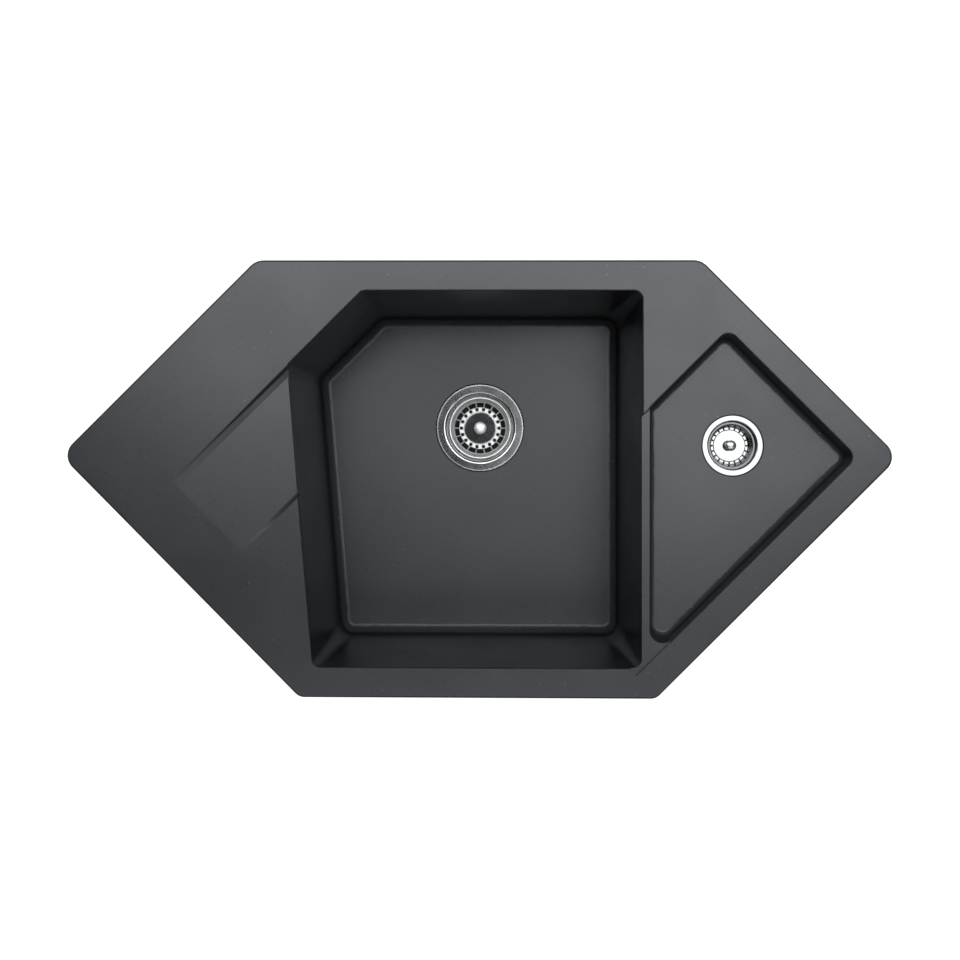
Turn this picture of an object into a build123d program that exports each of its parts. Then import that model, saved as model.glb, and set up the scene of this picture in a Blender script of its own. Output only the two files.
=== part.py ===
from build123d import *
import os
from math import hypot, radians, sqrt, tan

# A corner kitchen sink of granite composite: one hexagonal moulding with a draining wedge,
# a deep main bowl, a shallow rinsing tray, two basket strainer wastes and their linking pipes.
# The frame: origin at the middle of the outline, on the worktop's surface; +X to the tray,
# +Y to the corner of the room, +Z up. All sizes are millimetres, all angles are degrees.

# ---- outline and deck
deck_length = 942.0          # over the two rounded side tips
deck_width = 500.0
tip_offset = 25.7            # the side tips lie this far to the back of the middle line
tip_radius = 19.5
back_corner_radius = 22.0
front_corner_radius = 15.0
rim_height = 8.0             # how far the deck stands above the worktop
edge_rounding = 3.0
rim_rounding = 2.0           # rounded lip where the deck turns down into a bowl
seat_land = 14.0             # flat land under the edge that lies on the worktop
locating_step = 4.0          # the middle of the deck reaches this far into the cut-out
stone_wall = 8.0             # thickness of the bowl walls
stone_floor = 10.0           # thickness of a floor at its waste
floor_fall = 1.0             # slope of the floors towards their wastes
mitre = 45.0                 # the slanted edges run at this angle

# ---- main bowl
bowl_depth = 200.0
bowl_back_ledge = 35.5       # deck between the bowl and the back edge
bowl_front_ledge = 34.8
bowl_right = 187.6
bowl_left = -206.6           # left rim at the middle line
bowl_left_slant = 5.0
bowl_mitre_start = -132.6    # the cut-off back left corner begins here on the back rim
bowl_draft = 2.5
bowl_corner_radius = 10.0    # at the rim; the corners widen downwards
bowl_low_radius = 20.0       # the same corners at the floor
bowl_floor_radius = 12.0
bowl_foot_radius = 16.0      # outside, under the bowl
main_waste = (0.0, 63.0)

# ---- rinsing tray
tray_depth = 24.0
land_width = 8.0             # stone between the bowl's and the tray's rims
tray_right_ledge = 34.7      # deck between the tray and the right back edge
tray_front_ledge = 34.4      # deck between the tray and the right front edge
tray_width = 205.0           # between its two slanted rims
tray_draft = 10.0
tray_point_radius = 15.0
tray_corner_radius = 12.0
tray_blunt_radius = 8.0
tray_floor_radius = 6.0
tray_foot_radius = 6.0
prep_waste_setback = 86.4    # from the tray's right rim
prep_waste_shift = 2.3       # from the tray's middle line to its back left

# ---- draining wedge and spillway
drainer_depth = 5.0          # at the bowl; the wedge fades out over its length
drainer_length = 187.0
drainer_width = 116.0
drainer_setback = 0.8        # the back step stands clear of the bowl's rounded corner
back_step_run = 8.5
back_step_face = 2.2         # plan width of the steep upper part of the back step
back_step_share = 0.6        # share of the step's height that is steep
front_step_run = 5.0
drainer_lip = 1.5            # bevelled edge where the wedge runs into the bowl
fade_out = 0.02              # height left at the far end of the wedge
spill_depth = 4.0            # the land between the bowls lies below the deck
spill_front_depth = 2.6

# ---- what is moulded underneath
boss_radius = 6.5
boss_height = 10.0
tap_pocket_radius = 17.5     # blind tap holes, opened from below where a tap is wanted
tap_pocket_skin = 4.0
tap_pockets = [(230.0, 196.0), (-222.0, 196.0)]
seal_inset = 2.0
seal_width = 8.0
seal_height = 1.5

# ---- worktop clamps
worktop_thickness = 38.0
clamp_inset = 19.5           # from the outline to a clamp's screw
clamp_gap = 1.5              # toe to worktop before it is tightened
clamp_reach = 26.0
clamp_heel = 5.0
clamp_width = 10.0
clamp_sheet = 1.5
clamp_toe = 3.2              # how far the bent-up toe stands above the arm
clamp_teeth = 3
clamp_screw_radius = 2.5
screw_head_radius = 4.5
screw_head_height = 3.2
screw_slot = 1.2
screw_grip = 9.0             # how far a screw reaches into its plug
plug_radius = 4.0
plug_length = 12.0
back_clamp_spread = 150.0
front_clamp_spread = 110.0

# ---- clearances
hinge_clearance = 0.08       # round a clamp screw, where its arm turns
fit_clearance = 0.05         # round a plug, a bolt or an insert
seat_gap = 0.3               # a lift-out or swinging piece lies this far off its seat
thread_clearance = 0.15
socket_clearance = 0.3       # round a pipe in its socket
recess_clearance = 0.8       # round a flange in its recess

# ---- strainer wastes: what both sizes share
cup_sheet = 1.2
basket_sheet = 0.8
basket_play = 0.5            # round a basket in its cup
press_bend = 0.6             # inside bends of the pressed sheet
bed_gasket = 2.0             # soft ring between flange and stone
body_gasket = 2.5            # rubber ring between stone and plastic body
gasket_inset = 1.0
body_wall = 3.4
body_space = 1.2             # between a cup and the plastic body round it
web_thickness = 3.5
web_rib = 4.0
web_arms = 3
hub_wall = 3.0
hub_height = 14.0
insert_wall = 2.0
insert_length = 12.0
bolt_length = 15.0
bolt_slot = 1.6
grid_spoke = 3.0
grid_spokes = 3              # each runs right across the grid
knob_brim = 2.6              # height of the knob's dome
knob_edge = 1.2
knob_waist = 2.4
stem_cover = 4.0             # how far the stem's end lies below the knob's top
stem_lift = 0.6              # stem's end above the clamp bolt's head
seal_hub_wall = 3.0
seal_lip = 1.4
thread_radius = 23.9         # the outside thread of a 1 1/2 inch outlet
outlet_bore = 19.5
outlet_length = 22.0
seal_sheet = 2.2

# ---- main strainer, 3 1/2 inch: radii, and depths below its flange's top
main_flange_radius = 57.0
main_hole_radius = 45.0
main_mouth_radius = 43.6
main_mouth_bend = 4.0
main_ledge_depth = 9.0
main_ledge_width = 3.0
main_cup_depth = 34.0
main_cup_taper = 0.8
main_cup_bend = 5.0
main_basket_foot = 27.0
main_window_count = 18
main_window_outer = 34.0
main_window_inner = 28.0
main_window_rib = 1.6
main_hole_count = 18
main_small_hole = 0.9
main_hole_circle = 24.0
main_disc_radius = 20.8
main_disc_depth = 19.0
main_disc_rise = 1.2
main_disc_slope = 1.2
main_knob_radius = 8.0
main_knob_top = 5.2
main_bolt_radius = 4.0
main_bolt_head = 8.0
main_head_height = 3.0
main_stem_radius = 3.0
main_seal_radius = 33.5
main_seal_shoulder = 5.0
main_grid_outer = 30.0
main_grid_inner = 12.0
main_body_flange = 55.0
main_cone_height = 16.0

# ---- prep strainer, 1 1/2 inch
prep_flange_radius = 35.0
prep_hole_radius = 30.0
prep_mouth_radius = 28.0
prep_mouth_bend = 1.6
prep_ledge_depth = 7.2
prep_ledge_width = 2.2
prep_cup_depth = 26.4
prep_cup_taper = 0.6
prep_cup_bend = 3.0
prep_basket_foot = 21.8
prep_hole_count = 20
prep_small_hole = 1.1
prep_hole_circle = 20.3
prep_disc_radius = 18.4
prep_disc_depth = 18.2
prep_disc_rise = 0.8
prep_disc_slope = 0.6
prep_knob_radius = 6.2
prep_knob_top = 6.4
prep_bolt_radius = 3.0
prep_bolt_head = 6.5
prep_head_height = 2.4
prep_stem_radius = 2.4
prep_seal_radius = 22.5
prep_seal_shoulder = 1.2
prep_grid_outer = 20.0
prep_grid_inner = 8.5
prep_body_flange = 39.0
prep_cone_height = 9.0

# ---- pipework
pipe_radius = 20.0
pipe_wall = 1.8
fitting_wall = 1.8           # a fitting's wall beyond the pipe's own
socket_length = 25.0
insertion = 22.0             # how far a pipe reaches into its socket
joint_washer = 2.5
collar_height = 3.0
collar_radius = 23.5
cone_washer_height = 4.0
nut_radius = 28.5
nut_rib = 1.6
nut_rib_width = 5.0
nut_rib_count = 12
nut_lip = 3.0
nut_grip = 15.0              # how much thread a nut covers
nut_chamfer = 1.0
cone_slope = 1.0
tee_reach = 48.0             # from the tee's middle to its side mouth
socket_shoulder = 2.0        # solid stretch between a socket and the bend
cross_pipe_drop = 125.0      # cross pipe's middle line below the main flange
tee_foot = 38.0              # from that line down to the outlet's thread
bend_radius = 35.0

# ---- derived places
half_length = deck_length / 2
half_width = deck_width / 2
tip_x = half_length + tip_radius * (sqrt(2) - 1)
back_half = tip_x - (half_width - tip_offset) / tan(radians(mitre))
front_half = tip_x - (half_width + tip_offset) / tan(radians(mitre))
outline = [
    (back_half, half_width), (-back_half, half_width), (-tip_x, tip_offset),
    (-front_half, -half_width), (front_half, -half_width), (tip_x, tip_offset),
]
outline_radii = [
    back_corner_radius, back_corner_radius, tip_radius,
    front_corner_radius, front_corner_radius, tip_radius,
]

bowl_back = half_width - bowl_back_ledge
bowl_front = bowl_front_ledge - half_width
slant = tan(radians(bowl_left_slant))
mitre_line = bowl_back - bowl_mitre_start     # y - x along the bowl's mitre and the back step
bowl_notch_y = (mitre_line + bowl_left) / (1 + slant)
bowl_notch = (bowl_left - slant * bowl_notch_y, bowl_notch_y)
bowl_corners = [
    (bowl_right, bowl_front), (bowl_right, bowl_back), (bowl_mitre_start, bowl_back),
    bowl_notch, (bowl_left - slant * bowl_front, bowl_front),
]
bowl_radii = [bowl_corner_radius] * len(bowl_corners)
bowl_low_radii = [bowl_low_radius] * len(bowl_corners)

tray_left = bowl_right + land_width
tray_right_line = tip_x + tip_offset - tray_right_ledge * sqrt(2)   # x + y, right rim
tray_front_line = tip_x - tip_offset - tray_front_ledge * sqrt(2)   # x - y, front rim
tray_back_line = tray_front_line - tray_width * sqrt(2)             # x - y, back left rim
tray_left_back = tray_left - tray_back_line       # where the left rim meets the back left one
tray_left_front = tray_left - tray_front_line     # where it meets the front rim
tray_corners = [
    (tray_left, tray_left_front),
    ((tray_right_line + tray_front_line) / 2, (tray_right_line - tray_front_line) / 2),
    ((tray_right_line + tray_back_line) / 2, (tray_right_line - tray_back_line) / 2),
    (tray_left, tray_left_back),
]
tray_radii = [tray_point_radius, tray_corner_radius, tray_corner_radius, tray_blunt_radius]
prep_across = tray_right_line - prep_waste_setback * sqrt(2)        # x + y of the waste
prep_along = (tray_front_line + tray_back_line) / 2 - prep_waste_shift * sqrt(2)   # x - y
prep_waste = ((prep_across + prep_along) / 2, (prep_across - prep_along) / 2)

bowl_floor = rim_height - bowl_depth
tray_floor = rim_height - tray_depth
flange_recess = cup_sheet + bed_gasket
boss_foot = -locating_step - boss_height
toe_top = -worktop_thickness - clamp_gap
arm_foot = toe_top - clamp_toe - clamp_sheet
head_top = arm_foot - seat_gap

main_top = Plane(origin=(*main_waste, bowl_floor))
prep_top = Plane(origin=(*prep_waste, tray_floor))
main_thread_end = main_cup_depth + cup_sheet + web_thickness + main_cone_height + outlet_length
prep_thread_end = prep_cup_depth + cup_sheet + web_thickness + prep_cone_height + outlet_length
main_outlet = Plane(origin=main_top.origin - (0, 0, main_thread_end), z_dir=(0, 0, -1))
prep_outlet = Plane(origin=prep_top.origin - (0, 0, prep_thread_end), z_dir=(0, 0, -1))

# the cross pipe's frame: origin under the main waste, x towards the prep waste, y upwards
span = hypot(prep_waste[0] - main_waste[0], prep_waste[1] - main_waste[1])
aim = ((prep_waste[0] - main_waste[0]) / span, (prep_waste[1] - main_waste[1]) / span, 0)
cross_plane = Plane(
    origin=(*main_waste, bowl_floor - cross_pipe_drop), x_dir=aim, z_dir=(aim[1], -aim[0], 0)
)
elbow_leg = socket_length + socket_shoulder
elbow_mouth = span - bend_radius - elbow_leg

os.makedirs("parts", exist_ok=True)


def save(piece, name):
    """Label a finished piece and write it as a STEP file of its own."""
    piece.part.label = name
    export_step(piece.part, f"parts/{name}.step")


def lying(place):
    """The plane with radius along its x and height along its y, for turned profiles."""
    return Plane(origin=place.origin, x_dir=place.x_dir, z_dir=-place.y_dir)


def turned(place, profile):
    """A solid turned about the place's z axis from (radius, height) points."""
    with BuildPart() as piece:
        with BuildSketch(lying(place)):
            with BuildLine():
                Polyline(*profile, close=True)
            make_face()
        revolve(axis=Axis(place.origin, place.z_dir))
    return piece


def ring(place, inner, outer, low, high):
    """A plain ring between two heights."""
    return turned(place, [(inner, low), (outer, low), (outer, high), (inner, high)])


def pressed(place, path, bends, sheet):
    """A cup or basket pressed from sheet; the path runs inwards along its upper face."""
    with BuildPart() as piece:
        with BuildSketch(lying(place)):
            with BuildLine():
                FilletPolyline(*path, radius=bends)
                offset(amount=sheet, side=Side.LEFT, kind=Kind.INTERSECTION)
            make_face()
        revolve(axis=Axis(place.origin, place.z_dir))
    return piece


def level_outline(corners, radii, z, grow):
    """The outline through the corners at one height, grown outwards, with rounded corners."""
    with BuildSketch(Plane.XY.offset(z)) as level:
        with BuildLine():
            Polyline(*corners, close=True)
        make_face()
        offset(amount=grow, kind=Kind.INTERSECTION)
        for corner, radius in zip(corners, radii):
            fillet(level.vertices().sort_by_distance((*corner, 0))[0], radius=radius)
    return level.sketch


# ---- the moulding

def hollow(corners, radii, low_radii, depth, draft, waste, floor_radius):
    """The space inside a bowl: leaning walls and a floor that falls to the waste."""
    lean = tan(radians(draft))
    floor = rim_height - depth
    below = stone_floor / 2
    far = deck_length
    with BuildPart() as space:
        loft([
            level_outline(corners, radii, rim_height + rim_rounding, rim_rounding * lean),
            level_outline(corners, low_radii, floor - below, -(depth + below) * lean),
        ], ruled=True)
        middle = Plane(origin=(*waste, 0))
        with BuildSketch(lying(middle)):
            with BuildLine():
                Polyline(
                    (0, floor), (far, floor + far * tan(radians(floor_fall))),
                    (far, deck_width), (0, deck_width), close=True,
                )
            make_face()
        revolve(axis=Axis(middle.origin, middle.z_dir), mode=Mode.INTERSECT)
        falling_floor = space.faces().filter_by(GeomType.CONE).sort_by(SortBy.AREA)[-1]
        fillet(falling_floor.edges(), radius=floor_radius)
    return space


def shell(corners, radii, low_radii, depth, draft, foot_radius):
    """The outside of a bowl, one wall thickness bigger than its hollow."""
    lean = tan(radians(draft))
    foot = depth + stone_floor
    outer = [radius + stone_wall for radius in radii]
    low_outer = [radius + stone_wall for radius in low_radii]
    with BuildPart() as block:
        loft([
            level_outline(corners, outer, 0, stone_wall - rim_height * lean),
            level_outline(corners, low_outer, rim_height - foot, stone_wall - foot * lean),
        ], ruled=True)
        fillet(block.faces().sort_by(Axis.Z)[0].edges(), radius=foot_radius)
    return block


def drainer_section(distance):
    """The wedge's cross-section, square to its steps, at a distance from the bowl's notch."""
    depth = drainer_depth * (1 - distance / drainer_length) + fade_out
    steep_end = drainer_setback + back_step_face * depth / drainer_depth
    across = Vector(1, -1, 0).normalized()
    along = Vector(-1, -1, 0).normalized()
    origin = Vector(*bowl_notch, rim_height) + along * distance
    with BuildSketch(Plane(origin=origin, x_dir=across, z_dir=along)) as section:
        with BuildLine():
            Polyline(
                (drainer_setback, rim_height), (drainer_setback, 0),
                (steep_end, -back_step_share * depth),
                (drainer_setback + back_step_run, -depth),
                (drainer_width - front_step_run, -depth),
                (drainer_width, 0), (drainer_width, rim_height), close=True,
            )
        make_face()
    return section.sketch


def drainer_hollow():
    """The wedge that the drainer is sunk by: deepest at the bowl, faded out to the left."""
    with BuildPart() as wedge:
        loft([drainer_section(-rim_rounding), drainer_section(drainer_length)], ruled=True)
    return wedge


def spillway_hollow():
    """The lowered land between the bowls, which lets the tray overflow into the bowl."""
    inside_bowl = bowl_right - rim_rounding - 1
    inside_tray = tray_left + land_width
    point = tray_point_radius / tan(radians(mitre / 2)) / sqrt(2)   # tangent run of the point
    front_end = bowl_right - bowl_corner_radius + rim_rounding + 1
    back_y = inside_bowl - tray_back_line
    front_y = front_end - tray_front_line
    tilt = (spill_depth - spill_front_depth) / (back_y - front_y)
    with BuildPart() as land:
        with BuildSketch(Plane.XY.offset(rim_height - spill_depth)):
            with BuildLine():
                Polyline(
                    (inside_bowl, back_y), (tray_left, tray_left_back),
                    (inside_tray, tray_left_back - land_width),
                    (inside_tray, tray_left_front + point * 1.5),
                    (tray_left + point - 1, tray_left_front + point - 1),
                    (front_end, front_y),
                    (front_end - land_width, bowl_front + rim_rounding + 1), close=True,
                )
            make_face()
        extrude(amount=spill_depth + rim_height)
        falling = Plane(
            origin=(inside_bowl, back_y, rim_height - spill_depth),
            x_dir=(1, 0, 0), z_dir=(0, tilt, 1),
        )
        split(bisect_by=falling, keep=Keep.TOP)
    return land


def clamp_frames():
    """A frame for each clamp: origin on its screw, x along the edge, y into the sink."""
    frames = []
    for (ax, ay), (bx, by) in zip(outline, outline[1:] + outline[:1]):
        run = hypot(bx - ax, by - ay)
        ux = (bx - ax) / run
        uy = (by - ay) / run
        spread = back_clamp_spread if ay > 0 else front_clamp_spread
        for shift in ((-spread, spread) if ay == by else (0,)):
            x = (ax + bx) / 2 + ux * shift - uy * clamp_inset
            y = (ay + by) / 2 + uy * shift + ux * clamp_inset
            frames.append(Plane(origin=(x, y, 0), x_dir=(ux, uy, 0), z_dir=(0, 0, 1)))
    return frames


clamps = clamp_frames()
clamp_places = [(frame.origin.X, frame.origin.Y) for frame in clamps]


def rim_seal():
    """The soft strip in a groove of the land under the edge, flush with the worktop's face."""
    with BuildPart() as strip:
        with BuildSketch():
            add(level_outline(outline, outline_radii, 0, 0))
            offset(amount=-seal_inset)
            with BuildSketch(mode=Mode.SUBTRACT):
                add(level_outline(outline, outline_radii, 0, 0))
                offset(amount=-seal_inset - seal_width)
        extrude(amount=seal_height)
    return strip


def sink_body():
    """The one-piece moulding with both bowls, the drainer and everything under the deck."""
    bowl_hollow = hollow(
        bowl_corners, bowl_radii, bowl_low_radii, bowl_depth, bowl_draft, main_waste,
        bowl_floor_radius,
    )
    tray_hollow = hollow(
        tray_corners, tray_radii, tray_radii, tray_depth, tray_draft, prep_waste,
        tray_floor_radius,
    )
    bowl_shell = shell(
        bowl_corners, bowl_radii, bowl_low_radii, bowl_depth, bowl_draft, bowl_foot_radius
    )
    tray_shell = shell(
        tray_corners, tray_radii, tray_radii, tray_depth, tray_draft, tray_foot_radius
    )
    wedge = drainer_hollow()
    land = spillway_hollow()
    seal_groove = rim_seal()
    with BuildPart() as body:
        with BuildSketch() as plan:
            add(level_outline(outline, outline_radii, 0, 0))
        extrude(amount=rim_height)
        fillet(body.faces().sort_by(Axis.Z)[-1].edges(), radius=edge_rounding)
        with BuildSketch():
            add(plan.sketch)
            offset(amount=-seat_land)
        extrude(amount=-locating_step)
        add(bowl_shell.part)
        add(tray_shell.part)
        with BuildSketch(Plane.XY.offset(-locating_step)):
            with Locations(*clamp_places):
                Circle(boss_radius)
        extrude(amount=-boss_height)
        add(bowl_hollow.part, mode=Mode.SUBTRACT)
        add(tray_hollow.part, mode=Mode.SUBTRACT)
        # the rims are rounded while they still are whole loops
        deck = body.faces().filter_by(GeomType.PLANE).group_by(Axis.Z)[-1].sort_by(SortBy.AREA)[-1]
        for lip in deck.inner_wires():
            fillet(lip.edges(), radius=rim_rounding)
        add(wedge.part, mode=Mode.SUBTRACT)
        add(land.part, mode=Mode.SUBTRACT)
        add(seal_groove.part, mode=Mode.SUBTRACT)
        # recess and hole for each waste
        for place, flange_radius, hole_radius in (
            (main_top, main_flange_radius, main_hole_radius),
            (prep_top, prep_flange_radius, prep_hole_radius),
        ):
            with BuildSketch(place.offset(-flange_recess)):
                Circle(flange_radius + recess_clearance)
            extrude(amount=flange_recess * 2, mode=Mode.SUBTRACT)
            with BuildSketch(place):
                Circle(hole_radius)
            extrude(amount=-stone_floor * 2, mode=Mode.SUBTRACT)
        # pockets for the clamp plugs and the blind tap holes
        with BuildSketch(Plane.XY.offset(boss_foot)):
            with Locations(*clamp_places):
                Circle(plug_radius)
        extrude(amount=plug_length, mode=Mode.SUBTRACT)
        with BuildSketch(Plane.XY.offset(-locating_step)):
            with Locations(*tap_pockets):
                Circle(tap_pocket_radius)
        extrude(amount=locating_step + rim_height - tap_pocket_skin, mode=Mode.SUBTRACT)
        # the drainer's edge over the bowl, found about half way along it
        lip_y = bowl_notch_y * 0.4
        lip = (bowl_left - slant * lip_y, lip_y, rim_height - drainer_depth)
        chamfer(body.edges().sort_by_distance(lip)[0], length=drainer_lip)
    return body


# ---- the worktop clamps

def clamp_arm(frame):
    """A steel strip that turns on its screw; its bent-up toe bites the worktop from below."""
    plate_top = arm_foot + clamp_sheet
    with BuildPart() as arm:
        with BuildSketch(Plane(origin=frame.origin, x_dir=frame.x_dir, z_dir=-frame.y_dir)):
            with BuildLine():
                Polyline(
                    (-clamp_heel, arm_foot), (clamp_reach, arm_foot), (clamp_reach, toe_top),
                    (clamp_reach - clamp_sheet, toe_top), (clamp_reach - clamp_sheet, plate_top),
                    (-clamp_heel, plate_top), close=True,
                )
            make_face()
        extrude(amount=clamp_width / 2, both=True)
        # a bend at the toe's root, a round heel and teeth along the toe's edge
        root = arm.edges().filter_by(Axis(frame.origin, frame.y_dir)).sort_by_distance(
            frame.origin + frame.x_dir * clamp_reach + frame.z_dir * arm_foot
        )[0]
        fillet(root, radius=clamp_sheet)
        heel = arm.edges().filter_by(Axis.Z).sort_by_distance(
            frame.origin - frame.x_dir * clamp_heel + frame.z_dir * arm_foot
        )[:2]
        fillet(heel, radius=clamp_width / 4)
        tooth = clamp_width / clamp_teeth
        with BuildSketch(
            Plane(origin=frame.origin + frame.x_dir * clamp_reach, x_dir=frame.y_dir, z_dir=frame.x_dir)
        ):
            for number in range(clamp_teeth):
                left = -clamp_width / 2 + number * tooth
                with BuildLine():
                    Polyline(
                        (left, toe_top), (left + tooth / 2, toe_top - tooth / 2),
                        (left + tooth, toe_top), close=True,
                    )
                make_face()
        extrude(amount=-clamp_sheet, mode=Mode.SUBTRACT)
        with BuildSketch(frame.offset(arm_foot)):
            Circle(clamp_screw_radius + hinge_clearance)
        extrude(amount=clamp_sheet, mode=Mode.SUBTRACT)
    return arm


def clamp_screws():
    """The slotted screws that hang from the plugs and carry the clamp arms."""
    with BuildPart() as screws:
        for frame in clamps:
            with BuildSketch(frame.offset(head_top)):
                Circle(clamp_screw_radius)
            extrude(amount=boss_foot + screw_grip - head_top)
            with BuildSketch(frame.offset(head_top - screw_head_height)):
                Circle(screw_head_radius)
            extrude(amount=screw_head_height)
            with BuildSketch(frame.offset(head_top - screw_head_height)):
                Rectangle(screw_head_radius * 2, screw_slot)
            extrude(amount=screw_slot, mode=Mode.SUBTRACT)
    return screws


def clamp_plugs():
    """The plastic plugs that sit in the bosses and grip the clamp screws."""
    with BuildPart() as plugs:
        with BuildSketch(Plane.XY.offset(boss_foot)):
            with Locations(*clamp_places):
                Circle(plug_radius - fit_clearance)
                Circle(clamp_screw_radius + fit_clearance, mode=Mode.SUBTRACT)
        extrude(amount=plug_length)
    return plugs


# ---- the strainer wastes; each place is a frame at the middle of a flange's top

def strainer_cup(
    place, flange_radius, mouth_radius, mouth_bend, ledge_depth, ledge_width,
    depth, taper, floor_bend, grid_outer, grid_inner, bolt_radius,
):
    """The pressed flange and cup, with a ledge for the basket and a grid in its floor."""
    wall = mouth_radius - ledge_width
    with BuildPart() as cup:
        add(pressed(
            place,
            [
                (flange_radius, 0), (mouth_radius, 0), (mouth_radius, -ledge_depth),
                (wall, -ledge_depth), (wall - taper, -depth), (bolt_radius + fit_clearance, -depth),
            ],
            [mouth_bend, press_bend, cup_sheet + press_bend / 2, floor_bend],
            cup_sheet,
        ).part)
        with BuildSketch(place.offset(-depth)):
            Circle(grid_outer)
            Circle(grid_inner, mode=Mode.SUBTRACT)
            with PolarLocations(0, grid_spokes, angular_range=180):
                Rectangle(grid_outer * 2, grid_spoke, mode=Mode.SUBTRACT)
        extrude(amount=-cup_sheet, mode=Mode.SUBTRACT)
    return cup


def flange_gasket(place, flange_radius, mouth_radius, mouth_bend):
    """The soft ring that beds the flange on the stone."""
    outer = flange_radius - gasket_inset
    return ring(place, mouth_radius + mouth_bend, outer, -flange_recess, -cup_sheet)


def body_seal(place, hole_radius, body_flange):
    """The rubber ring between the stone's underside and the plastic body."""
    return ring(
        place, hole_radius + gasket_inset, body_flange - gasket_inset,
        -stone_floor - body_gasket, -stone_floor,
    )


def waste_body(place, body_flange, wall, cup_depth, cone_height, bolt_radius):
    """The plastic body under the floor: flange, wall, cone and threaded outlet."""
    top = -stone_floor - body_gasket
    bore = wall + cup_sheet + body_space
    web_top = -cup_depth - cup_sheet
    cone_top = web_top - web_thickness
    cone_foot = cone_top - cone_height
    rise = body_wall / 2
    with BuildPart() as body:
        add(turned(place, [
            (bore, top), (body_flange, top), (body_flange, top - body_wall),
            (bore + body_wall, top - body_wall), (bore + body_wall, cone_top),
            (thread_radius, cone_foot), (thread_radius, cone_foot - outlet_length),
            (outlet_bore, cone_foot - outlet_length), (outlet_bore, cone_foot + rise),
            (bore, cone_top + rise),
        ]).part)
        with BuildSketch(place.offset(web_top)):
            with PolarLocations((bore + rise) / 2, web_arms):
                Rectangle(bore + rise, web_rib)
        extrude(amount=-web_thickness)
        with BuildSketch(place.offset(web_top)):
            Circle(bolt_radius + insert_wall + hub_wall)
        extrude(amount=-hub_height)
        with BuildSketch(place.offset(web_top)):
            Circle(bolt_radius + insert_wall + fit_clearance)
        extrude(amount=-hub_height, mode=Mode.SUBTRACT)
    return body


def bolt_insert(place, cup_depth, bolt_radius):
    """The brass sleeve in the body's hub that the clamp bolt screws into."""
    top = -cup_depth - cup_sheet
    return ring(
        place, bolt_radius + fit_clearance, bolt_radius + insert_wall, top - insert_length, top
    )


def clamp_bolt(place, cup_depth, bolt_radius, head_radius, head_height):
    """The bolt in the cup's floor that draws cup and body together."""
    with BuildPart() as bolt:
        with BuildSketch(place.offset(-cup_depth)):
            Circle(head_radius)
        extrude(amount=head_height)
        fillet(bolt.faces().sort_by(Axis.Z)[-1].edges(), radius=head_height / 2)
        with BuildSketch(place.offset(-cup_depth)):
            Circle(bolt_radius)
        extrude(amount=-bolt_length)
        with BuildSketch(place.offset(-cup_depth + head_height)):
            Rectangle(head_radius * 2, bolt_slot)
        extrude(amount=-head_height / 2, mode=Mode.SUBTRACT)
    return bolt


def basket(
    place, mouth_radius, ledge_width, ledge_depth, foot, disc_radius, disc_depth, disc_rise,
    disc_slope, stem_radius, hole_circle, hole_radius, hole_count,
):
    """The lift-out basket: a rim on the cup's ledge, a cone and a raised disc."""
    rim = mouth_radius - basket_play * 2
    lip = mouth_radius - ledge_width - basket_sheet - basket_play
    rim_z = -ledge_depth + seat_gap + basket_sheet
    floor_z = -disc_depth - disc_rise
    with BuildPart() as piece:
        add(pressed(
            place,
            [
                (rim, rim_z), (lip, rim_z), (foot, floor_z), (disc_radius + disc_slope, floor_z),
                (disc_radius, -disc_depth), (stem_radius + fit_clearance, -disc_depth),
            ],
            [basket_sheet * 1.5, basket_sheet / 2, basket_sheet / 4, basket_sheet * 1.25],
            basket_sheet,
        ).part)
        with BuildSketch(place.offset(floor_z)):
            with PolarLocations(hole_circle, hole_count):
                Circle(hole_radius)
        extrude(amount=-basket_sheet * 2, both=True, mode=Mode.SUBTRACT)
    return piece


def main_basket():
    """The big basket, with drain windows round its cone."""
    with BuildPart() as piece:
        add(basket(
            main_top, main_mouth_radius, main_ledge_width, main_ledge_depth, main_basket_foot,
            main_disc_radius, main_disc_depth, main_disc_rise, main_disc_slope,
            main_stem_radius, main_hole_circle, main_small_hole, main_hole_count,
        ).part)
        with BuildSketch(main_top):
            Circle(main_window_outer)
            Circle(main_window_inner, mode=Mode.SUBTRACT)
            with PolarLocations(0, main_window_count // 2, angular_range=180):
                Rectangle(main_window_outer * 2, main_window_rib, mode=Mode.SUBTRACT)
        extrude(amount=-main_cup_depth, mode=Mode.SUBTRACT)
    return piece


def basket_stem(place, knob_top, radius, cup_depth, head_height):
    """The rod that joins knob, basket and seal."""
    low = -cup_depth + head_height + stem_lift
    with BuildPart() as stem:
        with BuildSketch(place.offset(low)):
            Circle(radius)
        extrude(amount=-knob_top - stem_cover - low)
    return stem


def basket_knob(place, radius, top, disc_depth, stem_radius):
    """The mushroom knob on top of the basket, bored for its stem."""
    neck = stem_radius + knob_waist
    bore = stem_radius + fit_clearance
    brim = -top - knob_brim
    with BuildPart() as knob:
        with BuildSketch(lying(place)):
            with BuildLine():
                crown = TangentArc((0, -top), (radius, brim), tangent=(1, 0))
                Polyline(
                    (radius, brim), (radius, brim - knob_edge), (neck, brim - knob_edge - knob_waist),
                    (neck, -disc_depth), (bore, -disc_depth), (bore, -top - stem_cover),
                    (0, -top - stem_cover), (0, -top),
                )
            make_face()
        revolve(axis=Axis(place.origin, place.z_dir))
    return knob


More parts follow.
